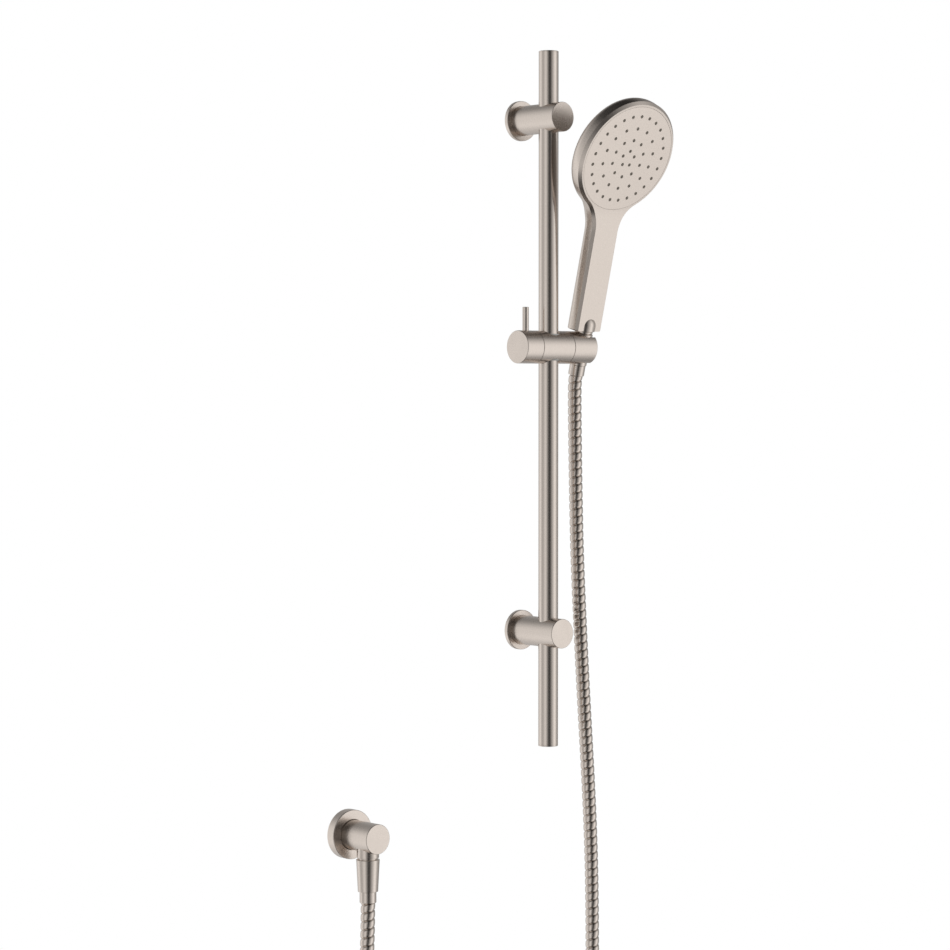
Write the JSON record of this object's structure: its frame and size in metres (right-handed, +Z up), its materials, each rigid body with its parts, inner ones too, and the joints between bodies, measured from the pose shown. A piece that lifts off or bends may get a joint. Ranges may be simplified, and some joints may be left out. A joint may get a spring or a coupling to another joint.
{
  "type": "hand shower rail set",
  "caption": "Hand shower on a wall rail: round head with a flat handle, sliding and tilting holder with a lever lock, metal spiral hose, and a round wall outlet elbow.",
  "frame": {"origin": "centre of the upper bracket's back face, where it meets the wall", "axes": "+Z up along the rail, +Y into the wall, -Y towards the room, +X to the right seen from the room"},
  "size_m": [0.3491, 0.153, 1.2235],
  "materials": {
    "brushed_nickel": "brushed warm nickel",
    "hose_steel": "satin interlocked spiral",
    "handset_nickel": "plated plastic in brushed warm nickel",
    "dark_rubber": "matte",
    "inner_plastic": "moulded",
    "screw_steel": "machined",
    "yellow_brass": "machined"
  },
  "bodies": {
    "rail_set": {"rail_tube": "brushed_nickel", "top_end_cap": "brushed_nickel", "bottom_end_cap": "brushed_nickel", "upper_bracket_post": "brushed_nickel", "lower_bracket_post": "brushed_nickel", "upper_wall_flange": "brushed_nickel", "lower_wall_flange": "brushed_nickel", "upper_wall_plate": "inner_plastic", "lower_wall_plate": "inner_plastic", "bracket_grub_screws": "screw_steel", "rail_set_screws": "screw_steel", "outlet_flange": "brushed_nickel", "outlet_body": "brushed_nickel", "outlet_inlet_nipple": "yellow_brass", "outlet_spigot": "brushed_nickel", "outlet_grub_screw": "screw_steel", "check_valve_housing": "inner_plastic", "check_valve_spring": "screw_steel", "check_valve_oring": "dark_rubber", "outlet_hose_nut": "brushed_nickel", "outlet_hose_washer": "dark_rubber", "outlet_hose_ferrule": "brushed_nickel", "hose_tube": "hose_steel"},
    "liner": {"slider_liner": "inner_plastic"},
    "slider": {"slider_body": "brushed_nickel", "slider_pivot_screw": "screw_steel"},
    "lock": {"lock_knob": "brushed_nickel", "lock_lever": "brushed_nickel", "lock_screw": "screw_steel"},
    "brake": {"brake_shoe": "inner_plastic"},
    "holder": {"handset_holder": "brushed_nickel", "holder_washer": "yellow_brass"},
    "handset": {"handset_rear_shell": "handset_nickel", "handset_front_plate": "handset_nickel", "spray_faceplate": "handset_nickel", "spray_nozzle_mat": "dark_rubber", "spray_plate": "inner_plastic", "chamber_seal": "dark_rubber", "water_chamber": "inner_plastic", "handle_water_tube": "inner_plastic", "handset_inlet": "brushed_nickel", "flow_restrictor": "inner_plastic", "handset_hose_nut": "brushed_nickel", "handset_hose_washer": "dark_rubber"},
    "hose_end": {"handset_hose_ferrule": "brushed_nickel"},
    "valve": {"check_valve_poppet": "inner_plastic"}
  },
  "joints": [
    {"name": "slider_slide", "type": "slide", "parent": "rail_set", "child": "liner", "axis": [0, 0, 1], "range_m": [-0.255, 0.197], "deforming": ["hose_tube"]},
    {"name": "slider_swivel", "type": "hinge", "parent": "liner", "child": "slider", "pos_m": [0, -0.044, -0.23], "axis": [0, 0, 1], "range_deg": [-30, 30], "deforming": ["hose_tube"]},
    {"name": "lock_turn", "type": "hinge", "parent": "slider", "child": "lock", "pos_m": [0, -0.044, -0.23], "axis": [1, 0, 0], "range_deg": [0, 60]},
    {"name": "brake_slide", "type": "slide", "parent": "slider", "child": "brake", "axis": [-1, 0, 0], "range_m": [0, 0.0008]},
    {"name": "holder_tilt", "type": "hinge", "parent": "slider", "child": "holder", "pos_m": [0, -0.044, -0.23], "axis": [1, 0, 0], "range_deg": [-6, 12], "deforming": ["hose_tube"]},
    {"name": "handset_lift", "type": "slide", "parent": "holder", "child": "handset", "axis": [0, -0.2487, 0.9686], "range_m": [0, 0.036], "deforming": ["hose_tube"]},
    {"name": "hose_end_swivel", "type": "hinge", "parent": "handset", "child": "hose_end", "pos_m": [0.0442, -0.044, -0.23], "axis": [0, -0.2487, 0.9686], "continuous": true, "deforming": ["hose_tube"]},
    {"name": "valve_slide", "type": "slide", "parent": "rail_set", "child": "valve", "axis": [0, -1, 0], "range_m": [0, 0.003], "stiffness_N_per_m": 150, "springref_m": -0.004, "deforming": ["check_valve_spring"]}
  ],
  "couplings": [
    {"joint": "brake_slide", "follows": "lock_turn", "m_per_rad": 0.00076}
  ]
}
